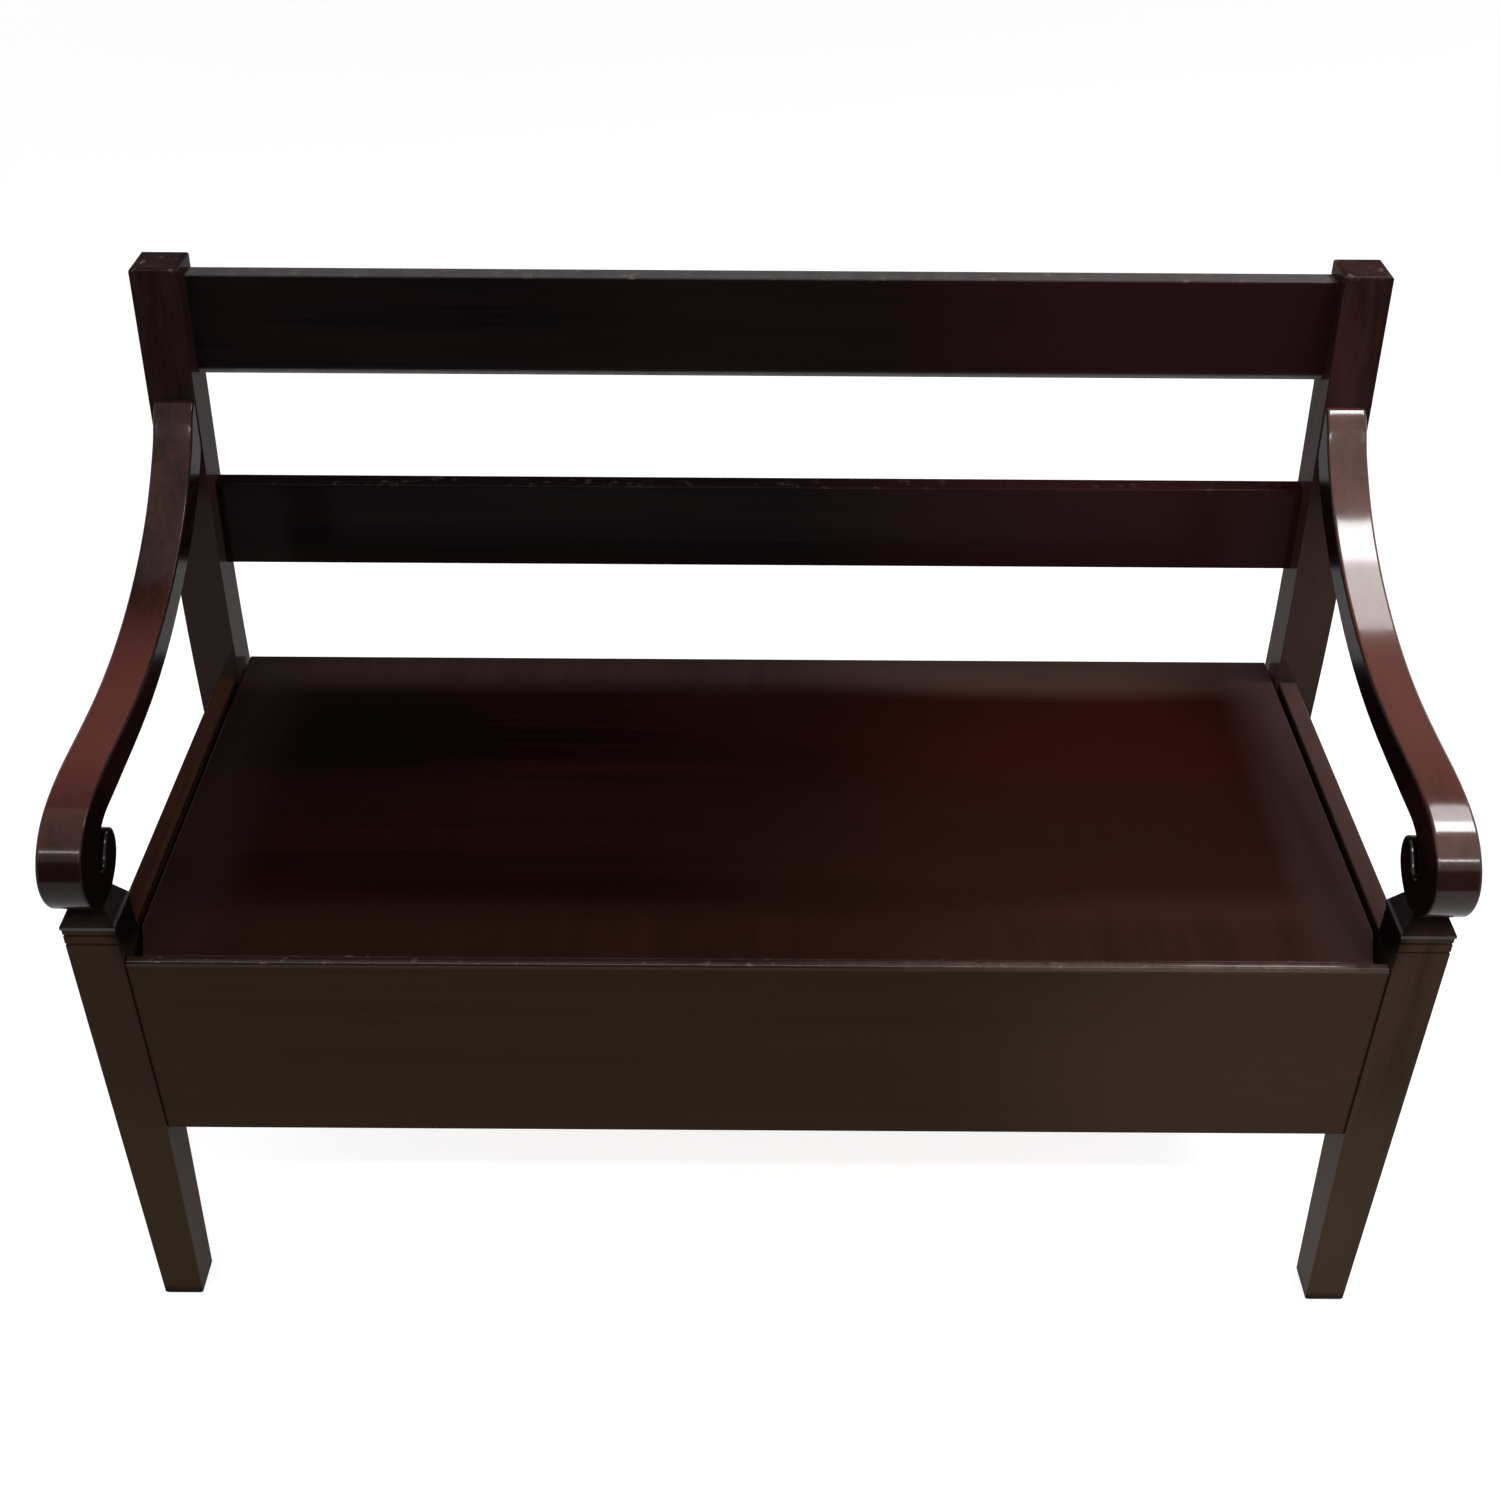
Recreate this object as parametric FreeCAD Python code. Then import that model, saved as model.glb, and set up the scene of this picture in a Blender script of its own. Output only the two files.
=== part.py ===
import FreeCAD, Part
import math
import os

# A deacons bench: a box seat with a lift-up lid, two flat back rails and scrolled arms.
# Millimetres. X runs along the bench, Y from front to back, Z up, and the origin is on the
# floor under the middle of the bench.

# Legs and posts
SPAN = 1200.0              # over the outer faces of the legs
STOCK = 46.0               # side of the square legs and posts
FOOT = 38.0                # side of the square foot, tapered on the two inner faces
FRONT = -255.5             # front face of the front legs
POST_FRONT = 191.5         # front face of the back posts at seat height
POST_TOP = 895.0
LEG_TOP = 520.0
COLLAR_Z = 500.0           # widest line of the bevelled cap on the front leg
COLLAR_OUT = 1.0
COLLAR_H = 3.0
CAP_INSET = 10.0
GROOVE_Z = (490.0, 480.0)
GROOVE_W = 2.2
GROOVE_D = 1.4
FOOT_BEVEL = 4.0           # at the sole, on the inner faces
OUTER_BEVEL = 2.0
EASE = 1.5                 # small rounding of the sawn edges
POST_EASE = 3.0            # at the top of the back posts

# Rake of the back above the seat
BEND_Z = 450.0
BEND_R = 1606.0
RAKE = 6.84

# Box under the seat
SEAT_Z = 459.0             # top of the lid, the side boards and the lip of the front board
APRON_Z = 247.0            # bottom of the four boards
FRONT_T = 20.0
FRONT_SET = 1.5            # front board behind the face of the legs
LIP = 6.5                  # width of the lip in front of the lid
LIP_R = 4.5
SIDE_T = 18.0
SIDE_X = 576.0             # outer face of the side boards
BACK_T = 20.0
BACK_Y = 231.0             # outer face of the back board
TENON_T = 10.0
TENON_L = 22.0
SIDE_TENON_L = 20.0
TENON_SHOULDER = 15.0
TENON_TOP = 435.0

# Lid
LID_T = 18.0
LID_X = 551.0
LID_GAP = 1.0              # between the lip and the front edge of the lid
LID_SEAT = 0.3             # air between the lid and what it closes on
CLIP_X = 540.0             # lid corner drawn in beside the front leg
CLIP_Y = -205.5
BATTEN_X = 300.0
BATTEN_W = 45.0
BATTEN_T = 18.0
BATTEN_Y = (-225.0, 205.0)

# Bottom of the box
CLEAT = 20.0
CLEAT_Z = 250.0
CLEAT_END = 552.0
PANEL_T = 9.0
PANEL_PLAY = 0.5

# Back rails
RAIL_SET = 23.5            # face of the rails behind the face of the posts
RAIL_T = 22.0
CREST_Z = (781.0, 881.0)
MID_Z = (581.5, 669.5)
RAIL_TENON_L = 22.0
RAIL_SHOULDER = 12.0
CREST_LOW_R = 10.0
RAIL_R = 3.0

# Arms
ARM_X = (560.0, 598.9)     # at the front; the arm is turned a little, so its back end is further in
ARM_R = 3.0
ARM_TURN = 0.63            # degrees
ARM_SPARE = 1.0            # cut off where the arm meets the post
ARM_END_Z = (720.0, 767.0)
ARM_LAND = 6.0
DOWEL_R = 5.0
DOWEL_L = 36.0
POST_DOWEL_Z = 731.0

# Hinges
HINGE_X = (-400.0, 0.0, 400.0)
HINGE_L = 64.0
LEAF_W = 17.5
LEAF_T = 1.6
BARREL_R = 3.2
BARREL_OUT = 3.5           # hinge axis behind the back board
PIN_R = 1.5
PIN_PLAY = 0.06
KNUCKLES = 5
KNUCKLE_GAP = 0.3
SCREW_R = 1.6
SCREW_HEAD_R = 3.2
SCREW_HEAD_H = 1.6
SCREW_SLOT = (0.9, 0.8)    # width and depth
SCREW_POINT_R = 0.3
CLEAT_SCREW_L = 32.0
CLEAT_SCREW_X = (-500.0, -250.0, 0.0, 250.0, 500.0)
CLEAT_SCREW_Y = (-150.0, -10.0, 130.0)
BATTEN_SCREW_L = 30.0
BATTEN_SCREW_Y = (-190.0, -70.0, 50.0, 170.0)
HINGE_SCREW_L = 15.0

LEG_X = SPAN / 2 - STOCK
APRON_FACE = FRONT + FRONT_SET
LID_FRONT = APRON_FACE + LIP + LID_GAP
LID_UNDER = SEAT_Z - LID_T
REST_Z = LID_UNDER - LID_SEAT
AXIS_Y = BACK_Y + BARREL_OUT
AXIS_Z = LID_UNDER - LID_SEAT / 2

# Side outline of the arm as (distance behind the front face of the leg, height).
# The upper line runs from the post down to the front, round the scroll and up to its tip.
ARM_UPPER = (
    (453, 753.5), (443.5, 740.5), (430, 726.5), (392, 695), (340, 664.8), (272, 639),
    (197, 623.2), (112, 618.2), (42, 613.5), (-3, 596), (-23, 565.5), (-12, 531.5),
    (16, 517.2), (44, 525.8), (61, 545.5), (59, 563.5), (52, 566.5))
# The lower line runs from the tip down into the slot of the scroll and back to the post.
ARM_LOWER = (
    (52, 566.5), (38, 556.5), (22.5, 546), (17, 549), (26, 567), (51, 580.8), (72, 582.7),
    (112, 584.8), (195, 591.5), (272, 608), (342, 634), (400, 663.5), (448, 698))


def box(x0, x1, y0, y1, z0, z1):
    return Part.makeBox(x1 - x0, y1 - y0, z1 - z0, FreeCAD.Vector(x0, y0, z0))


def mirrored(shape):
    return shape.mirror(FreeCAD.Vector(0, 0, 0), FreeCAD.Vector(1, 0, 0))


def fused(shapes):
    whole = shapes[0]
    for shape in shapes[1:]:
        whole = whole.fuse(shape)
    return whole.removeSplitter()


def without(shape, tools):
    for tool in tools:
        shape = shape.cut(tool)
    return shape


def eased(shape, radius, wanted):
    edges = [edge for edge in shape.Edges if wanted(edge)]
    return shape.makeFillet(radius, edges)


def runs_along_x(edge):
    ends = [vertex.Point for vertex in edge.Vertexes]
    return len(ends) == 2 and abs(ends[0].y - ends[1].y) < 1e-6 and abs(ends[0].z - ends[1].z) < 1e-6


def frustum(low, high):
    """Solid between two level rectangles, each given as (x0, x1, y0, y1, z)."""
    rings = []
    for x0, x1, y0, y1, z in (low, high):
        corners = [(x0, y0), (x1, y0), (x1, y1), (x0, y1), (x0, y0)]
        rings.append(Part.makePolygon([FreeCAD.Vector(x, y, z) for x, y in corners]))
    return Part.makeLoft(rings, True, True)


def side_prism(edges, x0, x1):
    """Push a closed outline in the YZ plane along X."""
    face = Part.Face(Part.Wire(edges))
    face.translate(FreeCAD.Vector(x0, 0, 0))
    return face.extrude(FreeCAD.Vector(x1 - x0, 0, 0))


def at(y, z):
    return FreeCAD.Vector(0, y, z)


def post_point(offset, angle):
    """Point on the bend of the post, offset behind its front face."""
    turn = math.radians(angle)
    reach = BEND_R - offset
    return at(POST_FRONT + BEND_R - reach * math.cos(turn), BEND_Z + reach * math.sin(turn))


def post_top(offset):
    end = post_point(offset, RAKE)
    return at(end.y + (POST_TOP - end.z) * math.tan(math.radians(RAKE)), POST_TOP)


def post_front_y(z):
    """Front face of the right post at a height."""
    end = post_point(0, RAKE)
    if z > end.z:
        return end.y + (z - end.z) * math.tan(math.radians(RAKE))
    rise = max(0.0, z - BEND_Z)
    return POST_FRONT + BEND_R - math.sqrt(BEND_R ** 2 - rise ** 2)


def foot(y0, y1, inner_behind):
    """Lower leg on the right side, tapered on its two inner faces, with a bevelled sole."""
    x1 = SPAN / 2
    fy0, fy1 = (y0, y0 + FOOT) if inner_behind else (y1 - FOOT, y1)
    front_bevel, back_bevel = (OUTER_BEVEL, FOOT_BEVEL) if inner_behind else (FOOT_BEVEL, OUTER_BEVEL)
    rise = FOOT_BEVEL / APRON_Z
    high = (LEG_X, x1, y0, y1, APRON_Z)
    low = (x1 - FOOT, x1, fy0, fy1, 0.0)
    ring = [a + (b - a) * rise for a, b in zip(low, high)]
    sole = (ring[0] + FOOT_BEVEL, ring[1] - OUTER_BEVEL, ring[2] + front_bevel, ring[3] - back_bevel, 0.0)
    return fused([frustum(sole, ring), frustum(ring, high)])


def front_leg():
    """Right front leg: tapered foot, two grooves, a small collar and a bevelled top."""
    x0, x1 = LEG_X, SPAN / 2
    y0, y1 = FRONT, FRONT + STOCK
    shank = box(x0, x1, y0, y1, APRON_Z, COLLAR_Z)
    out = COLLAR_OUT
    collar = box(x0 - out, x1 + out, y0 - out, y1 + out, COLLAR_Z - COLLAR_H, COLLAR_Z)
    wide = (x0 - out, x1 + out, y0 - out, y1 + out, COLLAR_Z)
    inset = CAP_INSET
    cap = frustum(wide, (x0 + inset, x1 - inset, y0 + inset, y1 - inset, LEG_TOP))
    shape = fused([foot(y0, y1, True), shank, collar, cap])
    for z in GROOVE_Z:
        band = box(x0 - 1, x1 + 1, y0 - 1, y1 + 1, z - GROOVE_W / 2, z + GROOVE_W / 2)
        depth = GROOVE_D
        core = box(x0 + depth, x1 - depth, y0 + depth, y1 - depth, z - GROOVE_W, z + GROOVE_W)
        shape = shape.cut(band.cut(core))
    return shape


def back_post():
    """Right back post: tapered foot, straight beside the box, raked above the seat."""
    half = RAKE / 2
    outline = [
        Part.LineSegment(at(POST_FRONT, APRON_Z), at(POST_FRONT, BEND_Z)).toShape(),
        Part.Arc(post_point(0, 0), post_point(0, half), post_point(0, RAKE)).toShape(),
        Part.LineSegment(post_point(0, RAKE), post_top(0)).toShape(),
        Part.LineSegment(post_top(0), post_top(STOCK)).toShape(),
        Part.LineSegment(post_top(STOCK), post_point(STOCK, RAKE)).toShape(),
        Part.Arc(post_point(STOCK, RAKE), post_point(STOCK, half), post_point(STOCK, 0)).toShape(),
        Part.LineSegment(at(POST_FRONT + STOCK, BEND_Z), at(POST_FRONT + STOCK, APRON_Z)).toShape(),
        Part.LineSegment(at(POST_FRONT + STOCK, APRON_Z), at(POST_FRONT, APRON_Z)).toShape(),
    ]
    upper = side_prism(outline, LEG_X, SPAN / 2)
    upper = eased(upper, POST_EASE, lambda edge: edge.BoundBox.ZMin > POST_TOP - 0.01)
    return fused([foot(POST_FRONT, POST_FRONT + STOCK, False), upper])


def front_apron():
    """Front board with a lip along its top and a ledge that carries the lid."""
    y0, y1 = APRON_FACE, APRON_FACE + FRONT_T
    board = box(-LEG_X, LEG_X, y0, y1, APRON_Z, SEAT_Z)
    board = board.cut(box(-LEG_X, LEG_X, y0 + LIP, y1, REST_Z, SEAT_Z))
    board = eased(board, LIP_R, lambda e: runs_along_x(e) and e.BoundBox.ZMin > SEAT_Z - 0.01
                  and e.BoundBox.YMax < y0 + 0.01)
    board = eased(board, EASE, lambda e: runs_along_x(e) and e.BoundBox.ZMax < APRON_Z + 0.01)
    reach = LEG_X + TENON_L
    middle = (y0 + y1) / 2
    tongue = box(-reach, reach, middle - TENON_T / 2, middle + TENON_T / 2,
                 APRON_Z + TENON_SHOULDER, TENON_TOP)
    return fused([board, tongue])


def back_apron():
    """Back board; the lid closes on its top edge and the hinges are let into it."""
    y0, y1 = BACK_Y - BACK_T, BACK_Y
    board = box(-LEG_X, LEG_X, y0, y1, APRON_Z, REST_Z)
    reach = LEG_X + TENON_L
    middle = (y0 + y1) / 2
    tongue = box(-reach, reach, middle - TENON_T / 2, middle + TENON_T / 2,
                 APRON_Z + TENON_SHOULDER, TENON_TOP - TENON_SHOULDER)
    return fused([board, tongue])


def side_apron():
    """Right side board, between the front leg and the post."""
    y0, y1 = FRONT + STOCK, POST_FRONT
    board = box(SIDE_X - SIDE_T, SIDE_X, y0, y1, APRON_Z, SEAT_Z)
    board = eased(board, EASE, lambda e: e.BoundBox.YLength > y1 - y0 - 1)
    middle = SIDE_X - SIDE_T / 2
    tongue = box(middle - TENON_T / 2, middle + TENON_T / 2,
                 y0 - SIDE_TENON_L, y1 + SIDE_TENON_L, APRON_Z + TENON_SHOULDER, TENON_TOP)
    return fused([board, tongue])


def rail_section(heights, inset, shoulder, x):
    """Leaning section of a rail with level top and bottom, pushed from -x to x."""
    low, high = heights
    low_y, high_y = (post_front_y(z) + RAIL_SET for z in heights)
    lean = (high_y - low_y) / (high - low)
    depth = RAIL_T * math.sqrt(1 + lean ** 2)
    low_y, high_y = low_y + lean * shoulder, high_y - lean * shoulder
    corners = [at(low_y + inset, low + shoulder), at(high_y + inset, high - shoulder),
               at(high_y + depth - inset, high - shoulder), at(low_y + depth - inset, low + shoulder)]
    outline = Part.makePolygon(corners + corners[:1])
    return side_prism(outline.Edges, -x, x)


def back_rail(heights, low_radius):
    """Flat rail that follows the rake, tenoned into both posts."""
    board = rail_section(heights, 0, 0, LEG_X)
    middle_z = sum(heights) / 2
    middle_y = board.CenterOfMass.y
    board = eased(board, RAIL_R, lambda e: runs_along_x(e) and e.BoundBox.ZMin > middle_z)
    front_low = [e for e in board.Edges if runs_along_x(e) and e.BoundBox.ZMax < heights[0] + 0.01]
    front_low.sort(key=lambda e: e.BoundBox.YMin)
    board = board.makeFillet(low_radius, front_low[:1])
    board = eased(board, RAIL_R, lambda e: runs_along_x(e) and e.BoundBox.ZMax < heights[0] + 0.01
                  and e.BoundBox.YMin > middle_y)
    tongue = rail_section(heights, (RAIL_T - TENON_T) / 2, RAIL_SHOULDER, LEG_X + RAIL_TENON_L)
    return fused([board, tongue])


def arm():
    """Right arm: one sawn board from the post to the scroll on top of the leg."""
    low_z, high_z = ARM_END_Z
    start = at(post_front_y(high_z) + ARM_SPARE, high_z)
    land = at(start.y - ARM_SPARE - ARM_LAND, high_z)
    end = at(post_front_y(low_z) + ARM_SPARE, low_z)
    upper = Part.BSplineCurve()
    upper.interpolate([land] + [at(FRONT + y, z) for y, z in ARM_UPPER])
    lower = Part.BSplineCurve()
    lower.interpolate([at(FRONT + y, z) for y, z in ARM_LOWER] + [end])
    outline = [Part.LineSegment(start, land).toShape(), upper.toShape(), lower.toShape(),
               Part.LineSegment(end, start).toShape()]
    board = side_prism(outline, ARM_X[0], ARM_X[1])
    board = eased(board, ARM_R, lambda e: e.BoundBox.XLength < 0.01 and e.BoundBox.ZLength > 100)
    board.rotate(FreeCAD.Vector(ARM_X[0], FRONT, 0), FreeCAD.Vector(0, 0, 1), ARM_TURN)
    seat = box(ARM_X[0] - STOCK, ARM_X[1] + STOCK, FRONT - STOCK, FRONT + 2 * STOCK, 0, LEG_TOP)
    return without(board, [seat, back_post()])


def arm_dowels():
    """Right pair of dowels: scroll to leg and arm to post."""
    x = LEG_X + STOCK / 2
    upright = Part.makeCylinder(DOWEL_R, DOWEL_L, FreeCAD.Vector(x, FRONT + STOCK / 3, LEG_TOP - DOWEL_L / 2))
    z = POST_DOWEL_Z
    lean = math.radians(RAKE)
    along = FreeCAD.Vector(0, math.cos(lean), -math.sin(lean))
    root = FreeCAD.Vector(x, post_front_y(z), z) - along * (DOWEL_L / 2)
    level = Part.makeCylinder(DOWEL_R, DOWEL_L, root, along)
    return [upright, level]


def seat_lid():
    """Lid board with its front corners drawn in beside the legs."""
    corners = [(LID_X, BACK_Y), (LID_X, CLIP_Y), (CLIP_X, LID_FRONT), (-CLIP_X, LID_FRONT),
               (-LID_X, CLIP_Y), (-LID_X, BACK_Y), (LID_X, BACK_Y)]
    outline = Part.makePolygon([FreeCAD.Vector(x, y, LID_UNDER) for x, y in corners])
    board = Part.Face(outline).extrude(FreeCAD.Vector(0, 0, LID_T))
    return eased(board, EASE, lambda e: e.BoundBox.ZMin > SEAT_Z - 0.01)


def batten(side):
    x = side * BATTEN_X
    shape = box(x - BATTEN_W / 2, x + BATTEN_W / 2, BATTEN_Y[0], BATTEN_Y[1], LID_UNDER - BATTEN_T, LID_UNDER)
    return eased(shape, EASE, lambda e: e.BoundBox.ZMax < LID_UNDER - BATTEN_T + 0.01)


def bottom_panel():
    """Thin floor of the box, notched round the legs and posts."""
    play = PANEL_PLAY
    z0 = CLEAT_Z + CLEAT
    inner = SIDE_X - SIDE_T - play
    y0, y1 = APRON_FACE + FRONT_T + play, BACK_Y - BACK_T - play
    board = box(-inner, inner, y0, y1, z0, z0 + PANEL_T)
    corners = [box(LEG_X - play, SPAN, y, y + STOCK + 2 * play, z0 - 1, z0 + PANEL_T + 1)
               for y in (FRONT - play, POST_FRONT - play)]
    return without(board, corners + [mirrored(corner) for corner in corners])


def bottom_cleats():
    """The four strips that carry the floor, as (name, solid)."""
    z0, z1 = CLEAT_Z, CLEAT_Z + CLEAT
    front = APRON_FACE + FRONT_T
    back = BACK_Y - BACK_T
    inner = SIDE_X - SIDE_T
    right = box(inner - CLEAT, inner, FRONT + STOCK + 1, POST_FRONT - 1, z0, z1)
    return {
        "bottom_cleat_front": box(-CLEAT_END, CLEAT_END, front, front + CLEAT, z0, z1),
        "bottom_cleat_back": box(-CLEAT_END, CLEAT_END, back - CLEAT, back, z0, z1),
        "bottom_cleat_right": right,
        "bottom_cleat_left": mirrored(right),
    }


def screw(point, direction, length):
    """Flat-headed wood screw with its head at the point."""
    shank = Part.makeCylinder(SCREW_R, length - SCREW_R, point, direction)
    point_start = point + direction * (length - SCREW_R)
    tip = Part.makeCone(SCREW_R, SCREW_POINT_R, SCREW_R * 2, point_start, direction)
    head = Part.makeCone(SCREW_HEAD_R, SCREW_R, SCREW_HEAD_H, point, direction)
    width, depth = SCREW_SLOT
    slot = box(-SCREW_HEAD_R - 1, SCREW_HEAD_R + 1, -width / 2, width / 2, -depth, depth)
    slot_axis = FreeCAD.Vector(1, 0, 0) if abs(direction.x) < 0.5 else FreeCAD.Vector(0, 0, 1)
    cross = direction.cross(slot_axis)
    place = FreeCAD.Placement(point, FreeCAD.Rotation(slot_axis, cross, direction, "ZXY"))
    slot.Placement = place.multiply(slot.Placement)
    return fused([shank, tip, head]).cut(slot)


def cleat_screws():
    """Screws that hold the four strips to the boards, heads inside the box."""
    z = CLEAT_Z + CLEAT / 2
    front = APRON_FACE + FRONT_T + CLEAT
    back = BACK_Y - BACK_T - CLEAT
    inner = SIDE_X - SIDE_T - CLEAT
    found = []
    for x in CLEAT_SCREW_X:
        found.append(screw(FreeCAD.Vector(x, front, z), FreeCAD.Vector(0, -1, 0), CLEAT_SCREW_L))
        found.append(screw(FreeCAD.Vector(x, back, z), FreeCAD.Vector(0, 1, 0), CLEAT_SCREW_L))
    for y in CLEAT_SCREW_Y:
        for side in (-1, 1):
            found.append(screw(FreeCAD.Vector(side * inner, y, z), FreeCAD.Vector(side, 0, 0), CLEAT_SCREW_L))
    return found


def batten_screws():
    """Screws up through the battens into the lid."""
    z = LID_UNDER - BATTEN_T
    up = FreeCAD.Vector(0, 0, 1)
    return [screw(FreeCAD.Vector(side * BATTEN_X, y, z), up, BATTEN_SCREW_L)
            for side in (-1, 1) for y in BATTEN_SCREW_Y]


def knuckle_spans(x):
    """Start and end of each knuckle of the hinge centred at x."""
    pitch = HINGE_L / KNUCKLES
    first = x - HINGE_L / 2
    return [(first + i * pitch + KNUCKLE_GAP / 2, first + (i + 1) * pitch - KNUCKLE_GAP / 2)
            for i in range(KNUCKLES)]


def hinge_leaf(x, z0, own, bore):
    """One leaf of a hinge with its own knuckles, and countersunk screw holes."""
    y1 = BACK_Y - KNUCKLE_GAP
    plate = box(x - HINGE_L / 2, x + HINGE_L / 2, BACK_Y - LEAF_W, y1, z0, z0 + LEAF_T)
    along = FreeCAD.Vector(1, 0, 0)
    pieces = [plate]
    for i in own:
        start, end = knuckle_spans(x)[i]
        pieces.append(box(start, end, y1 - 1, AXIS_Y, z0, z0 + LEAF_T))
        pieces.append(Part.makeCylinder(BARREL_R, end - start, FreeCAD.Vector(start, AXIS_Y, AXIS_Z), along))
    leaf = fused(pieces)
    reach = HINGE_L + 4
    return leaf.cut(Part.makeCylinder(bore, reach, FreeCAD.Vector(x - reach / 2, AXIS_Y, AXIS_Z), along))


def hinge_screws(x, z, direction):
    y = BACK_Y - LEAF_W / 2
    pitch = HINGE_L / 3
    return [screw(FreeCAD.Vector(x + i * pitch, y, z), direction, HINGE_SCREW_L) for i in (-1, 0, 1)]


def hinge_pin(x):
    start = FreeCAD.Vector(x - HINGE_L / 2, AXIS_Y, AXIS_Z)
    return Part.makeCylinder(PIN_R, HINGE_L, start, FreeCAD.Vector(1, 0, 0))


def build():
    """All nodes of the bench, by name."""
    up, down = FreeCAD.Vector(0, 0, 1), FreeCAD.Vector(0, 0, -1)
    lower_z = REST_Z - LEAF_T
    frame_leaves = [hinge_leaf(x, lower_z, (0, 2, 4), PIN_R) for x in HINGE_X]
    lid_leaves = [hinge_leaf(x, LID_UNDER, (1, 3), PIN_R + PIN_PLAY) for x in HINGE_X]
    frame_screws = [s for x in HINGE_X for s in hinge_screws(x, REST_Z, down)]
    lid_screws = [s for x in HINGE_X for s in hinge_screws(x, LID_UNDER, up)]
    frame_leaves = [without(leaf, frame_screws) for leaf in frame_leaves]
    lid_leaves = [without(leaf, lid_screws) for leaf in lid_leaves]

    right_dowels = arm_dowels()
    dowels = right_dowels + [mirrored(dowel) for dowel in right_dowels]
    cleats = bottom_cleats()
    cleat_fixings = cleat_screws()
    lid_fixings = batten_screws()

    aprons = {
        "front_apron": without(front_apron(), cleat_fixings),
        "back_apron": without(back_apron(), cleat_fixings + frame_leaves + frame_screws),
        "side_apron_right": without(side_apron(), cleat_fixings),
        "side_apron_left": without(mirrored(side_apron()), cleat_fixings),
    }
    rails = {
        "crest_rail": back_rail(CREST_Z, CREST_LOW_R),
        "mid_rail": back_rail(MID_Z, RAIL_R),
    }
    tenons = [front_apron(), back_apron(), side_apron()] + list(rails.values())
    leg = without(front_leg(), tenons + right_dowels)
    post = without(back_post(), tenons + right_dowels)
    right_arm = without(arm(), right_dowels)

    nodes = {
        "front_leg_right": leg,
        "front_leg_left": mirrored(leg),
        "back_post_right": post,
        "back_post_left": mirrored(post),
        "arm_right": right_arm,
        "arm_left": mirrored(right_arm),
        "arm_dowels": Part.makeCompound(dowels),
        "bottom_panel": bottom_panel(),
        "cleat_screws": Part.makeCompound(cleat_fixings),
        "hinge_frame_leaves": Part.makeCompound(frame_leaves),
        "hinge_frame_screws": Part.makeCompound(frame_screws),
        "hinge_pins": Part.makeCompound([hinge_pin(x) for x in HINGE_X]),
        "seat_lid": without(seat_lid(), lid_leaves + lid_screws + lid_fixings),
        "lid_batten_left": without(batten(-1), lid_fixings),
        "lid_batten_right": without(batten(1), lid_fixings),
        "batten_screws": Part.makeCompound(lid_fixings),
        "hinge_lid_leaves": Part.makeCompound(lid_leaves),
        "hinge_lid_screws": Part.makeCompound(lid_screws),
    }
    nodes.update(aprons)
    nodes.update(rails)
    for name, cleat in cleats.items():
        nodes[name] = without(cleat, cleat_fixings)
    return nodes


os.makedirs("parts", exist_ok=True)
for node, solid in sorted(build().items()):
    solid.exportStep(os.path.join("parts", node + ".step"))
    print(node, len(solid.Solids), round(solid.Volume / 1000.0, 1), solid.isValid())
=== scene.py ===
import math

import bpy
from mathutils import Matrix, Vector

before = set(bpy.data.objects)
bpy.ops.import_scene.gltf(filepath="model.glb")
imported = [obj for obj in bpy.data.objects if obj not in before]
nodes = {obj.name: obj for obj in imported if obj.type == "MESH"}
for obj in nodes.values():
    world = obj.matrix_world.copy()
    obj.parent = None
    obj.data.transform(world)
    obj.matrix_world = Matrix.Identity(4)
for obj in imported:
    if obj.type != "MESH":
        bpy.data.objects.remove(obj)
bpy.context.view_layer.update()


# Node trees in plain arithmetic

class Wire:
    """One output of a material's tree. Arithmetic on it adds Math nodes."""

    def __init__(self, bench, socket):
        self.bench = bench
        self.socket = socket

    def maths(self, operation, *values):
        return self.bench.node("ShaderNodeMath", {"operation": operation}, list(values))

    def __add__(self, other):
        return self.maths("ADD", self, other)

    def __sub__(self, other):
        return self.maths("SUBTRACT", self, other)

    def __mul__(self, other):
        return self.maths("MULTIPLY", self, other)

    def __truediv__(self, other):
        return self.maths("DIVIDE", self, other)

    def __pow__(self, other):
        return self.maths("POWER", self, other)

    def __rsub__(self, other):
        return self.maths("SUBTRACT", other, self)

    def __abs__(self):
        return self.maths("ABSOLUTE", self)

    __radd__ = __add__
    __rmul__ = __mul__

    def at_most(self, other):
        return self.maths("MINIMUM", self, other)

    def at_least(self, other):
        return self.maths("MAXIMUM", self, other)


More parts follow.
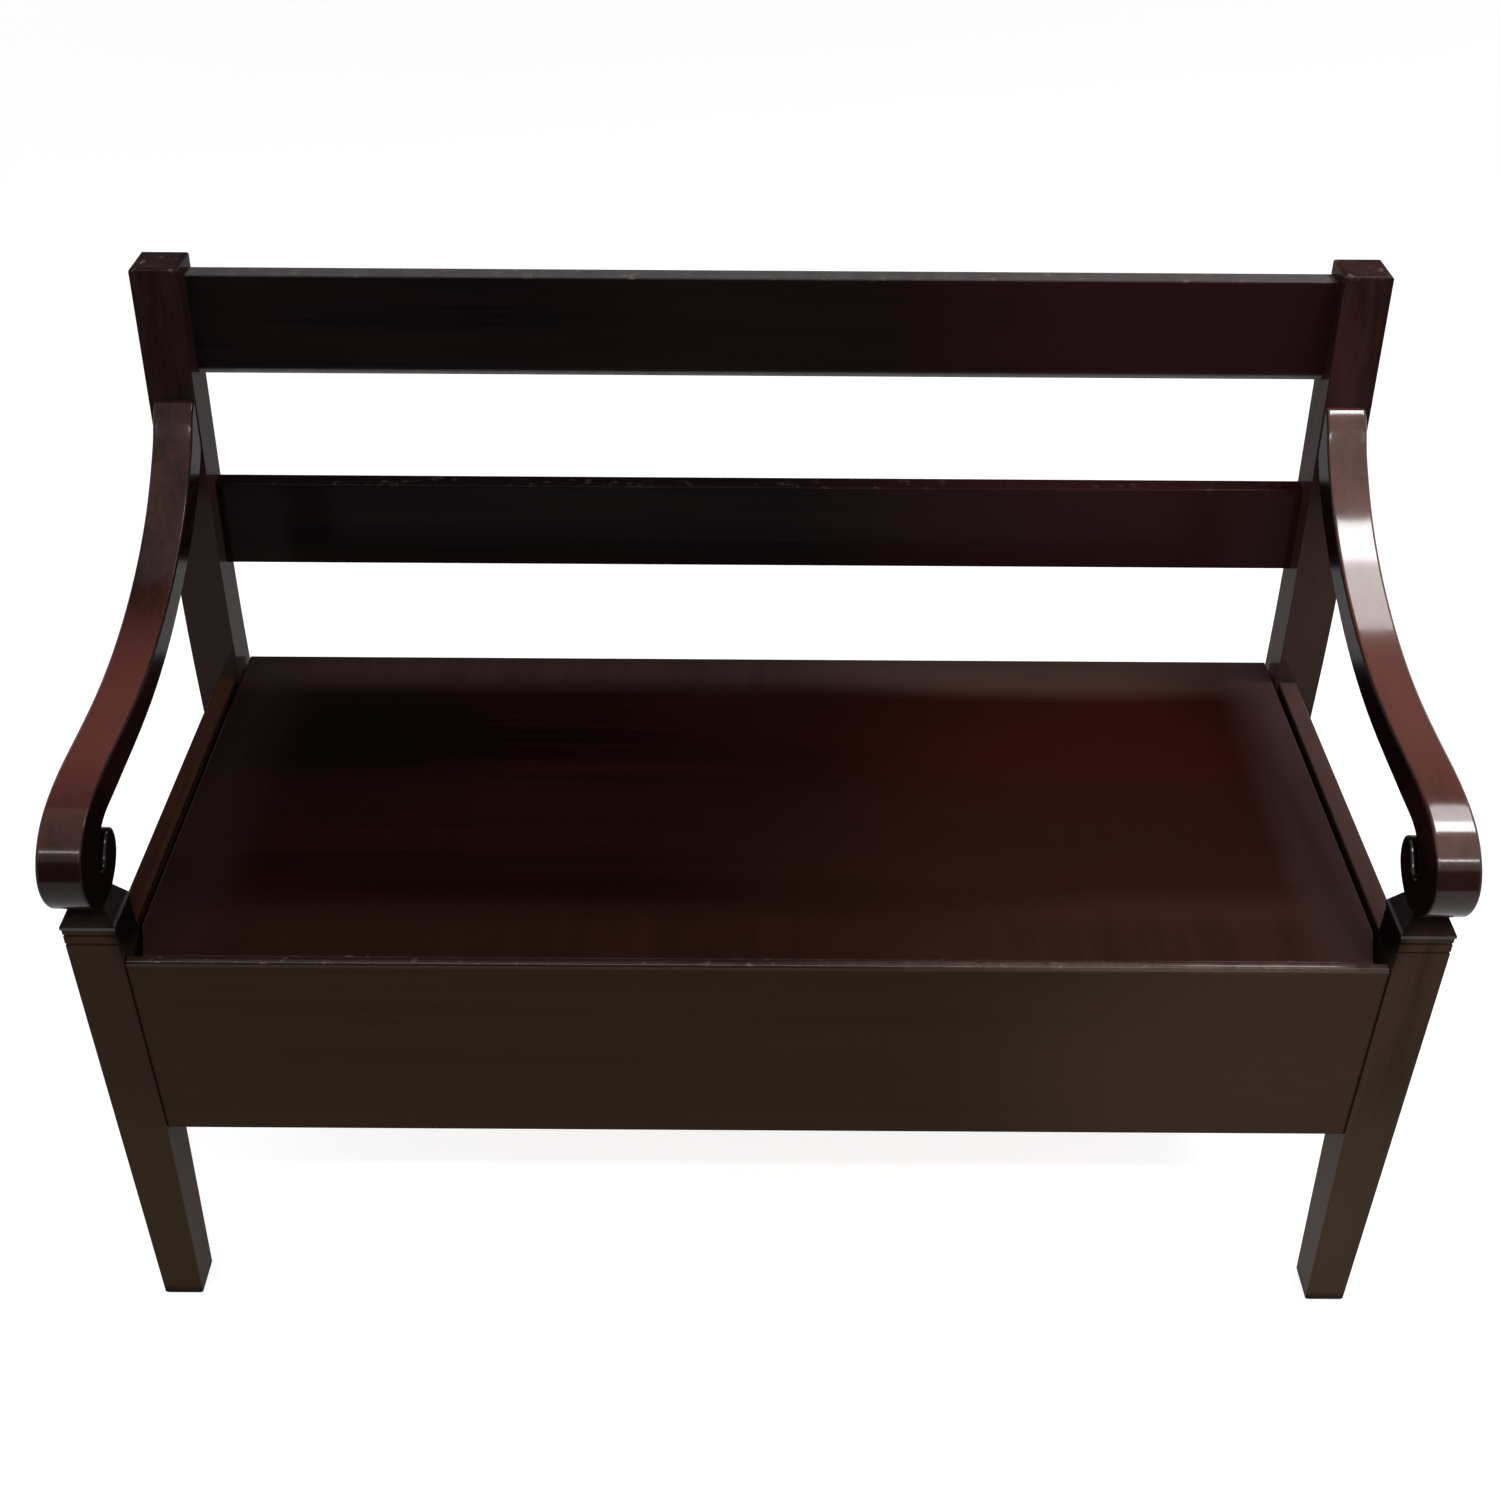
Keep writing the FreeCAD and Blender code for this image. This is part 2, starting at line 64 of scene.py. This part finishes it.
class Workbench:
    """Adds nodes to one tree."""

    def __init__(self, tree):
        self.tree = tree
        tree.nodes.clear()

    def node(self, kind, settings=None, inputs=None, out=0):
        made = self.tree.nodes.new(kind)
        for name, value in (settings or {}).items():
            setattr(made, name, value)
        pairs = inputs.items() if isinstance(inputs, dict) else enumerate(inputs or [])
        for key, value in pairs:
            if isinstance(value, Wire):
                self.tree.links.new(value.socket, made.inputs[key])
            else:
                made.inputs[key].default_value = value
        if out is None:
            return tuple(Wire(self, socket) for socket in made.outputs)
        return Wire(self, made.outputs[out])

    def here(self):
        """The piece's own coordinates in metres."""
        return self.node("ShaderNodeTexCoord", out="Object")

    def place(self, scale, offset=(0.0, 0.0, 0.0)):
        """The piece's own coordinates, stretched and moved."""
        return self.node("ShaderNodeMapping", {}, {
            "Vector": self.here(), "Location": offset, "Scale": scale})

    def axes(self):
        return self.node("ShaderNodeSeparateXYZ", {}, [self.here()], out=None)

    def noise(self, where, detail=3.0, rough=0.5, warp=0.0):
        return self.node("ShaderNodeTexNoise", {"noise_dimensions": "3D"}, {
            "Vector": where, "Scale": 1.0, "Detail": detail, "Roughness": rough, "Distortion": warp})

    def ramp(self, value, low, high, top=1.0):
        """Smooth step from 0 to the top as the value goes from low to high."""
        return self.node("ShaderNodeMapRange", {"interpolation_type": "SMOOTHSTEP"}, {
            "Value": value, "From Min": low, "From Max": high, "To Min": 0.0, "To Max": top})

    def mixed(self, share, first, second):
        """The first colour turning into the second as the share goes from 0 to 1."""
        return self.node("ShaderNodeMix", {"data_type": "RGBA"}, {0: share, 6: first, 7: second}, out=2)

    def spot(self, centre, reach):
        """1 at the centre, falling softly to 0 at the reach, given along each axis."""
        parts = [(axis - middle) / size for axis, middle, size in zip(self.axes(), centre, reach)]
        squares = [part * part for part in parts]
        far = squares[0] + squares[1] + squares[2]
        return self.ramp(far, 1.0, 0.0)

    def bumped(self, height, depth, under=None):
        inputs = {"Strength": 1.0, "Distance": depth, "Height": height}
        if under is not None:
            inputs["Normal"] = under
        return self.node("ShaderNodeBump", {}, inputs)

    def finish(self, surface, kind="ShaderNodeOutputMaterial"):
        self.node(kind, {}, {"Surface": surface}, out=None)


def rgb(red, green, blue):
    """Colour as painted, 0 to 255, turned into linear light."""
    def linear(value):
        share = value / 255.0
        return share / 12.92 if share <= 0.04045 else ((share + 0.055) / 1.055) ** 2.4
    return (linear(red), linear(green), linear(blue), 1.0)


def new_material(name):
    made = bpy.data.materials.new(name)
    made.use_nodes = True
    return made, Workbench(made.node_tree)


# Finishes

def stretched(axis, along, across):
    scale = [across, across, across]
    scale["xyz".index(axis)] = along
    return tuple(scale)


def mahogany(name, axis, seed, low, high, warm, patches=(), bands=(), wear=(), polish=(),
             gloss=0.3, specular=0.0, coat=0.1, turned=0.0):
    """Dark stained mahogany under lacquer, with the grain along one axis.

    low, high and warm are the stain in the dark grain, on the open grain and in the red ribbons.
    patches are (centre, reach, colour, share): soft spots where the colour is lighter or darker, most of
    them painted light and shade.
    bands are (axis number, place, half width, colour, share) across one axis, soft at their sides; many of
    them are painted highlights and shade.
    wear is written like bands, and shows only in flecks, where an edge is rubbed.
    polish is (axis number, place, half width, coat weight), above 0 for what hands and lids rub
    bright and below 0 for faces that are never polished.
    turned is how far x runs off with each metre of y, for a piece that stands askew.
    """
    material, work = new_material(name)
    offset = (seed * 3.17, seed * 1.71, seed * 2.43)
    ribbon = work.noise(work.place(stretched(axis, 1.3, 26.0), offset), detail=4.0, rough=0.55, warp=0.35)
    streak = work.noise(work.place(stretched(axis, 3.5, 150.0), offset), detail=5.0, rough=0.6, warp=0.2)
    pore = work.noise(work.place(stretched(axis, 26.0, 900.0), offset), detail=2.0, rough=0.5)
    cloud = work.noise(work.place((2.4, 2.4, 2.4), offset), detail=3.0, rough=0.55)
    peel = work.noise(work.place((140.0, 140.0, 140.0), offset), detail=2.0, rough=0.5)
    fleck = work.ramp(work.noise(work.place((70.0, 70.0, 70.0), offset), detail=4.0, rough=0.7), 0.57, 0.70)
    band_noise = work.noise(work.place((60.0, 5.0, 5.0), offset), detail=3.0, rough=0.55)
    x, y, z = work.axes()
    where = (x + y * turned, y, z)

    def near(number, place, half_width):
        return work.ramp(abs(where[number] - place), half_width, half_width * 0.3)

    pores = work.ramp(pore, 0.60, 0.72)
    colour = work.mixed(work.ramp(streak * 0.65 + ribbon * 0.35, 0.36, 0.66), low, high)
    colour = work.mixed(work.ramp(ribbon * 0.6 + cloud * 0.4, 0.40, 0.68, 0.8), colour, warm)
    # Most patches and bands are painted light: highlights, sheen and shade painted into the colour.
    for centre, reach, tint, share in patches:
        amount = work.spot(centre, reach) ** 1.6 * (cloud * 0.8 + 0.6) * share
        colour = work.mixed(amount.at_most(1.0), colour, tint)
    for number, place, half_width, tint, share in bands:
        amount = near(number, place, half_width) * (band_noise * 0.7 + 0.65) * share
        colour = work.mixed(amount.at_most(1.0), colour, tint)
    colour = work.mixed(pores * 0.15, colour, PORE_INK)
    for number, place, half_width, tint, share in wear:
        colour = work.mixed(near(number, place, half_width) * fleck * share, colour, tint)

    shine = coat * (1.0 - pores * 0.4)
    for number, place, half_width, weight in polish:
        shine = shine + near(number, place, half_width) * weight
    roughness = gloss + work.ramp(cloud, 0.35, 0.7) * 0.07 + (streak - 0.5) * 0.06 + pores * 0.10
    height = streak * 0.3 - pores * 0.3
    normal = work.bumped(height, 0.00003, work.bumped(peel, 0.00002))
    shade = work.node("ShaderNodeBsdfPrincipled", {}, {
        "Base Color": colour, "Roughness": roughness, "IOR": 1.5, "Specular IOR Level": specular,
        "Coat Weight": shine.at_least(0.0), "Coat Roughness": 0.11, "Coat IOR": 1.5, "Normal": normal})
    work.finish(shade)
    return material


def raw_wood(name, axis, seed, low, high, rough=0.62):
    """Unpolished wood inside the box: stained once, with open pores."""
    material, work = new_material(name)
    offset = (seed * 2.9, seed * 1.3, seed * 3.7)
    rings = work.noise(work.place(stretched(axis, 1.6, 38.0), offset), detail=4.0, rough=0.6, warp=0.5)
    fibre = work.noise(work.place(stretched(axis, 9.0, 420.0), offset), detail=4.0, rough=0.65)
    dirt = work.noise(work.place((5.0, 5.0, 5.0), offset), detail=4.0, rough=0.6)
    colour = work.mixed(work.ramp(rings * 0.6 + fibre * 0.4, 0.35, 0.65), low, high)
    colour = work.mixed(work.ramp(dirt, 0.5, 0.75, 0.5), colour, rgb(38, 24, 16))
    shade = work.node("ShaderNodeBsdfPrincipled", {}, {
        "Base Color": colour, "Roughness": rough + (fibre - 0.5) * 0.15, "Specular IOR Level": 0.3,
        "Normal": work.bumped(fibre, 0.00015)})
    work.finish(shade)
    return material


def metal(name, bright, dull, axis, rough=0.32):
    """Drawn and tumbled metal with dull patches."""
    material, work = new_material(name)
    drawn = work.noise(work.place(stretched(axis, 60.0, 2400.0)), detail=3.0, rough=0.6)
    tint = work.noise(work.place((160.0, 160.0, 160.0)), detail=4.0, rough=0.6)
    tarnish = work.ramp(tint, 0.42, 0.7)
    shade = work.node("ShaderNodeBsdfPrincipled", {}, {
        "Base Color": work.mixed(tarnish, bright, dull), "Metallic": 1.0 - tarnish * 0.35,
        "Roughness": rough + tarnish * 0.22 + (drawn - 0.5) * 0.12,
        "Normal": work.bumped(drawn, 0.00002)})
    work.finish(shade)
    return material


def give(material, *names):
    for name in names:
        for slot in nodes[name].material_slots:
            slot.material = material


X, Y, Z = 0, 1, 2
ALL = 1.0  # a reach that takes in the whole piece
SEAT_TOP = 0.459
LID_UNDERSIDE = 0.4405
LID_FRONT = -0.2455
BOARD_FACE = -0.254
BOARD_END = 0.5545
POST_X, POST_Y = 0.57, 0.24
CREST_FOOT, CREST_TOP = 0.7815, 0.8820

PORE_INK = rgb(8, 3, 2)
# Near black, for the dark joint lines where the front board meets the legs and for the painted shadow at
# the foot of each leg.
JOINT_LINE_AND_FOOT_SHADE = rgb(3, 2, 2)
RUBBED = rgb(168, 148, 136)
# Painted grey sheen along the lid's back edge.
SEAT_BACK_SHEEN = rgb(48, 37, 35)

# The lid's colour is mostly painted light: a painted dark reflection on the left, a painted red glow and
# sheen on the right, and painted grey sheen along its edges and across its middle.
give(mahogany(
    "seat_mahogany", "x", 1.0, rgb(8, 2, 1), rgb(16, 5, 3), rgb(20, 6, 4),
    patches=[
        ((0.06, 0.12, SEAT_TOP), (0.30, 0.08, ALL), rgb(24, 6, 4), 0.5),
        ((0.50, 0.03, SEAT_TOP), (0.52, 0.34, ALL), rgb(41, 12, 7), 0.95),
        ((0.42, -0.13, SEAT_TOP), (0.62, 0.20, ALL), rgb(38, 20, 15), 0.7),
        ((-0.44, 0.06, SEAT_TOP), (0.24, 0.18, ALL), rgb(6, 2, 2), 0.9),
        ((0.34, 0.22, SEAT_TOP), (0.40, 0.08, ALL), rgb(80, 58, 51), 0.6),
        ((0.42, -0.245, SEAT_TOP), (0.44, 0.11, ALL), rgb(66, 42, 35), 0.8),
    ],
    # Painted sheen along the back, front and side edges and across the middle.
    bands=[
        (Y, 0.228, 0.074, SEAT_BACK_SHEEN, 0.62),
        (Y, -0.045, 0.100, rgb(27, 12, 10), 0.45),
        (Y, -0.242, 0.100, rgb(34, 18, 14), 0.75),
        (X, -0.556, 0.110, rgb(30, 20, 20), 0.45),
        (X, 0.556, 0.080, rgb(62, 48, 47), 0.6),
        (Z, LID_UNDERSIDE, 0.010, rgb(40, 20, 14), 0.9),
    ],
    wear=[(Y, LID_FRONT, 0.002, RUBBED, 0.08)],
    gloss=0.26, specular=0.01, coat=0.14), "seat_lid")

give(mahogany(
    "front_board_mahogany", "x", 2.0, rgb(36, 25, 13), rgb(40, 28, 16), rgb(42, 29, 17),
    # Painted light on the right of the board, and a painted highlight along the right half of the lip.
    patches=[
        ((0.50, BOARD_FACE, 0.34), (0.42, ALL, 0.30), rgb(57, 42, 31), 0.7),
        ((0.40, BOARD_FACE, 0.4595), (0.45, ALL, 0.0060), rgb(134, 114, 103), 0.9),
    ],
    bands=[
        (Z, 0.4595, 0.006, rgb(34, 20, 16), 0.8),
        (X, -BOARD_END, 0.0034, JOINT_LINE_AND_FOOT_SHADE, 0.95),
        (X, BOARD_END, 0.0034, JOINT_LINE_AND_FOOT_SHADE, 0.95),
    ],
    wear=[(Z, 0.4585, 0.0025, RUBBED, 0.16)], polish=[(Z, SEAT_TOP, 0.008, 0.3)],
    gloss=0.34, specular=0.02, coat=0.02), "front_apron")
# The right board is a lighter copy of the left, painted light, with a painted highlight along its top edge.
give(mahogany("left_board_mahogany", "y", 3.0, rgb(20, 11, 9), rgb(38, 23, 19), rgb(48, 27, 22)),
     "side_apron_left")
give(mahogany("right_board_mahogany", "y", 3.5, rgb(26, 15, 12), rgb(42, 26, 22), rgb(50, 29, 25),
              bands=[(Z, SEAT_TOP, 0.006, rgb(68, 50, 48), 0.9)], coat=0.2), "side_apron_right")
give(mahogany("back_board_mahogany", "x", 4.0, rgb(12, 6, 4), rgb(24, 12, 8), rgb(32, 15, 10), gloss=0.4),
     "back_apron")

# Painted light: a lighter middle, a red painted reflection on the right, a painted reflection of the floor
# along the rounded foot and a painted highlight along the top edge.
give(mahogany(
    "crest_mahogany", "x", 5.0, rgb(12, 8, 9), rgb(20, 14, 15), rgb(24, 15, 16),
    patches=[
        ((0.05, 0.25, 0.83), (0.35, ALL, ALL), rgb(28, 16, 17), 0.5),
        ((0.48, 0.25, 0.83), (0.42, ALL, ALL), rgb(38, 19, 20), 0.8),
    ],
    bands=[(Z, CREST_FOOT, 0.009, rgb(150, 145, 142), 0.75), (Z, CREST_TOP, 0.0030, rgb(96, 92, 92), 0.5)],
    wear=[(Z, 0.8810, 0.003, RUBBED, 0.15)], coat=0.05), "crest_rail")
# Painted light: lighter and redder on the right.
give(mahogany(
    "mid_rail_mahogany", "x", 6.0, rgb(10, 7, 8), rgb(18, 11, 11), rgb(22, 12, 12),
    patches=[((0.46, 0.23, 0.62), (0.50, ALL, ALL), rgb(40, 20, 19), 0.8)],
    wear=[(Z, 0.6690, 0.002, RUBBED, 0.05)], coat=0.05), "mid_rail")

COLLAR_POLISH = [(Z, 0.499, 0.005, 0.5)]
# Painted shade: a dark band where the feet stand on the floor and a darker band at the leg tops under the
# scrolls.
LEG_PAINTED_SHADE = [(Z, 0.0, 0.016, JOINT_LINE_AND_FOOT_SHADE, 0.7), (Z, 0.520, 0.030, rgb(20, 14, 14), 0.9)]
POST_WEAR = [(Z, 0.894, 0.004, RUBBED, 0.25)]
# The right leg is a lighter copy of the left, painted light. Both are lighter towards the foot and have a
# painted shade spot at the inner top, by the seat.
give(mahogany("left_leg_mahogany", "z", 7.0, rgb(33, 24, 17), rgb(42, 31, 22), rgb(48, 34, 25),
              patches=[((-0.56, -0.23, 0.10), (ALL, ALL, 0.26), rgb(50, 39, 27), 0.8),
                       ((-0.54, -0.21, 0.50), (0.035, 0.09, 0.08), rgb(8, 6, 6), 1.6)],
              bands=LEG_PAINTED_SHADE, specular=0.004, coat=0.04, polish=COLLAR_POLISH), "front_leg_left")
give(mahogany("right_leg_mahogany", "z", 8.0, rgb(44, 32, 24), rgb(54, 41, 31), rgb(62, 45, 35),
              patches=[((0.56, -0.23, 0.10), (ALL, ALL, 0.26), rgb(62, 50, 39), 0.8),
                       ((0.54, -0.21, 0.50), (0.035, 0.09, 0.08), rgb(10, 7, 7), 1.6)],
              bands=LEG_PAINTED_SHADE, specular=0.005, coat=0.05, polish=COLLAR_POLISH), "front_leg_right")
# The right post is a lighter copy of the left, painted light, and both are painted lighter in their lower
# half.
give(mahogany("left_post_mahogany", "z", 9.0, rgb(22, 13, 14), rgb(34, 21, 22), rgb(42, 25, 24),
              patches=[((-POST_X, POST_Y, 0.50), (ALL, ALL, 0.26), rgb(46, 36, 31), 0.7)],
              wear=POST_WEAR, specular=0.005, coat=0.08), "back_post_left")
give(mahogany("right_post_mahogany", "z", 10.0, rgb(28, 17, 15), rgb(44, 27, 25), rgb(56, 33, 30),
              patches=[((POST_X, POST_Y, 0.50), (ALL, ALL, 0.26), rgb(62, 48, 41), 0.7)],
              wear=POST_WEAR, specular=0.004, coat=0.08), "back_post_right")

ARM_X = 0.5795
ARM_TURN = 0.011  # how far the arm comes in for each metre towards the back
CHEEK_X, CHEEK_DEPTH = 0.5565, 0.0028
SCROLL_FRONT, SCROLL_DEPTH = -0.277, 0.016
CURL_Y, CURL_Z = -0.225, 0.545
CURL_REACH = (ALL, 0.06, 0.055)
# Painted shade on the scroll fronts, in the curls and along the inner cheeks.
left_scroll_shade = (Y, SCROLL_FRONT, SCROLL_DEPTH, rgb(20, 11, 11), 0.9)
right_scroll_shade = (Y, SCROLL_FRONT, SCROLL_DEPTH, rgb(34, 19, 16), 0.9)
left_curl_shade = ((-ARM_X, CURL_Y, CURL_Z), CURL_REACH, rgb(12, 5, 5), 1.4)
right_curl_shade = ((ARM_X, CURL_Y, CURL_Z), CURL_REACH, rgb(14, 6, 6), 1.4)
# The right arm is a lighter copy of the left, painted light, and both carry a painted highlight along the
# middle of the arm.
give(mahogany("left_arm_mahogany", "y", 11.0, rgb(26, 13, 11), rgb(46, 24, 21), rgb(58, 31, 26),
              patches=[((-ARM_X, -0.10, 0.62), (ALL, 0.18, ALL), rgb(88, 49, 44), 0.9), left_curl_shade],
              bands=[left_scroll_shade, (X, -CHEEK_X, CHEEK_DEPTH, rgb(12, 5, 5), 0.95)], turned=-ARM_TURN,
              polish=[(X, -CHEEK_X, CHEEK_DEPTH, -0.25)], gloss=0.20, specular=0.02, coat=0.28), "arm_left")
give(mahogany("right_arm_mahogany", "y", 12.0, rgb(44, 25, 21), rgb(64, 37, 32), rgb(84, 50, 43),
              patches=[((ARM_X, -0.05, 0.63), (ALL, 0.24, ALL), rgb(96, 60, 53), 0.7), right_curl_shade],
              bands=[right_scroll_shade, (X, CHEEK_X, CHEEK_DEPTH, rgb(14, 6, 6), 0.95)], turned=ARM_TURN,
              polish=[(X, CHEEK_X, CHEEK_DEPTH, -0.8), (Y, SCROLL_FRONT, SCROLL_DEPTH, -0.4)],
              gloss=0.20, specular=0.02, coat=0.85), "arm_right")

give(raw_wood("cleat_wood_long", "x", 1.0, rgb(88, 56, 36), rgb(132, 92, 62)),
     "bottom_cleat_front", "bottom_cleat_back")
give(raw_wood("cleat_wood_short", "y", 2.0, rgb(86, 54, 34), rgb(128, 88, 60)),
     "bottom_cleat_left", "bottom_cleat_right", "lid_batten_left", "lid_batten_right")
give(raw_wood("panel_wood", "x", 3.0, rgb(118, 80, 50), rgb(160, 118, 80), 0.7), "bottom_panel")
give(raw_wood("dowel_wood", "z", 4.0, rgb(170, 132, 90), rgb(198, 162, 118), 0.6), "arm_dowels")
give(metal("hinge_brass", rgb(196, 160, 92), rgb(104, 78, 42), "x"),
     "hinge_frame_leaves", "hinge_lid_leaves", "hinge_pins")
give(metal("screw_steel", rgb(188, 186, 178), rgb(112, 108, 100), "z", 0.36),
     "hinge_frame_screws", "hinge_lid_screws", "cleat_screws", "batten_screws")


# Studio

WHITE = (1.0, 1.0, 1.0, 1.0)
FLOOR_PAINT = (0.8, 0.8, 0.8, 1.0)
CLOTH_DYE = (0.015, 0.015, 0.015, 1.0)
FLOOR_GLOW, FLOOR_GLOW_SHARE = 1.485, 0.56
BACKDROP_LIGHT = 1.03
ROOM_LIGHT = 0.85
CEILING = 3.0


def background_share(work):
    """1 for rays that should see the plain background."""
    camera, glossy, through = (
        work.node("ShaderNodeLightPath", out=name)
        for name in ("Is Camera Ray", "Is Glossy Ray", "Is Transmission Ray"))
    return camera.at_least(glossy).at_least(through)


def plane(name, centre, size, turn=(0.0, 0.0, 0.0)):
    half_x, half_y = size[0] / 2, size[1] / 2
    mesh = bpy.data.meshes.new(name)
    corners = [(-half_x, -half_y, 0), (half_x, -half_y, 0), (half_x, half_y, 0), (-half_x, half_y, 0)]
    mesh.from_pydata(corners, [], [(0, 1, 2, 3)])
    card = bpy.data.objects.new(name, mesh)
    card.location = centre
    card.rotation_euler = turn
    bpy.context.scene.collection.objects.link(card)
    return card


def floor_material():
    material, work = new_material("pale_floor")
    paint = work.node("ShaderNodeBsdfDiffuse", {}, {"Color": FLOOR_PAINT})
    glow = work.node("ShaderNodeEmission", {}, {"Color": WHITE, "Strength": FLOOR_GLOW})
    share = background_share(work) * FLOOR_GLOW_SHARE
    work.finish(work.node("ShaderNodeMixShader", {}, [share, paint, glow]))
    return material


def black_cloth():
    material, work = new_material("black_cloth")
    work.finish(work.node("ShaderNodeBsdfDiffuse", {}, {"Color": CLOTH_DYE}))
    return material


floor = plane("floor", (0.0, 0.0, 0.0), (60.0, 60.0))
floor.data.materials.append(floor_material())
cloth = black_cloth()
for name, centre, size, turn in (
        ("overhead_cloth", (0.0, 4.3, 3.4), (9.0, 7.0), (0.0, 0.0, 0.0)),
        ("front_cloth", (0.0, -3.2, 1.3), (6.0, 2.6), (math.radians(90), 0.0, 0.0))):
    card = plane(name, centre, size, turn)
    card.data.materials.append(cloth)
    card.visible_camera = False

world = bpy.data.worlds.new("studio")
world.use_nodes = True
bpy.context.scene.world = world
work = Workbench(world.node_tree)
backdrop = work.node("ShaderNodeBackground", {}, {"Color": WHITE, "Strength": BACKDROP_LIGHT})
fill = work.node("ShaderNodeBackground", {}, {"Color": WHITE, "Strength": ROOM_LIGHT})
both = work.node("ShaderNodeMixShader", {}, [background_share(work), fill, backdrop])
work.finish(both, "ShaderNodeOutputWorld")


def lamp(name, place, target, size, power):
    light = bpy.data.lights.new(name, "AREA")
    light.shape = "RECTANGLE"
    light.size, light.size_y = size
    light.energy = power
    made = bpy.data.objects.new(name, light)
    made.location = place
    made.rotation_euler = (Vector(target) - Vector(place)).to_track_quat("-Z", "Y").to_euler()
    bpy.context.scene.collection.objects.link(made)


lamp("ceiling_panel", (1.40, 0.12, CEILING), (1.40, 0.12, 0.0), (0.8, 0.5), 34.0)
lamp("ceiling_glow", (1.42, 0.75, CEILING), (1.42, 0.75, 0.0), (0.8, 0.76), 19.0)
lamp("ceiling_tube", (0.0, -2.2, CEILING), (0.0, -1.2, 0.5), (4.4, 0.08), 44.0)
lamp("front_fill", (0.0, -2.9, 3.2), (0.0, 0.0, 0.5), (2.4, 0.8), 8.0)


# Camera, matched to the photograph's frame of 1500 by 1500

CAMERA_AT = (-0.008963, -1.434803, 1.560246)
YAW, PITCH, ROLL = (math.radians(angle) for angle in (0.043, 36.312, 0.378))
FOCAL_PX = 1835.476
FRAME_PX = 1500.0
SENSOR_MM = 36.0

forward = Vector((math.sin(YAW) * math.cos(PITCH), math.cos(YAW) * math.cos(PITCH), -math.sin(PITCH)))
level = Vector((math.cos(YAW), -math.sin(YAW), 0.0))
upright = level.cross(forward)
right = math.cos(ROLL) * level + math.sin(ROLL) * upright
top = math.cos(ROLL) * upright - math.sin(ROLL) * level
lens = bpy.data.cameras.new("camera")
lens.sensor_width = SENSOR_MM
lens.lens = FOCAL_PX * SENSOR_MM / FRAME_PX
lens.clip_start = 0.01
lens.clip_end = 200.0
camera = bpy.data.objects.new("camera", lens)
turn = Matrix((right, top, -forward)).transposed()
camera.matrix_world = Matrix.Translation(CAMERA_AT) @ turn.to_4x4()
bpy.context.scene.collection.objects.link(camera)
bpy.context.scene.camera = camera
bpy.context.scene.view_settings.view_transform = "Standard"
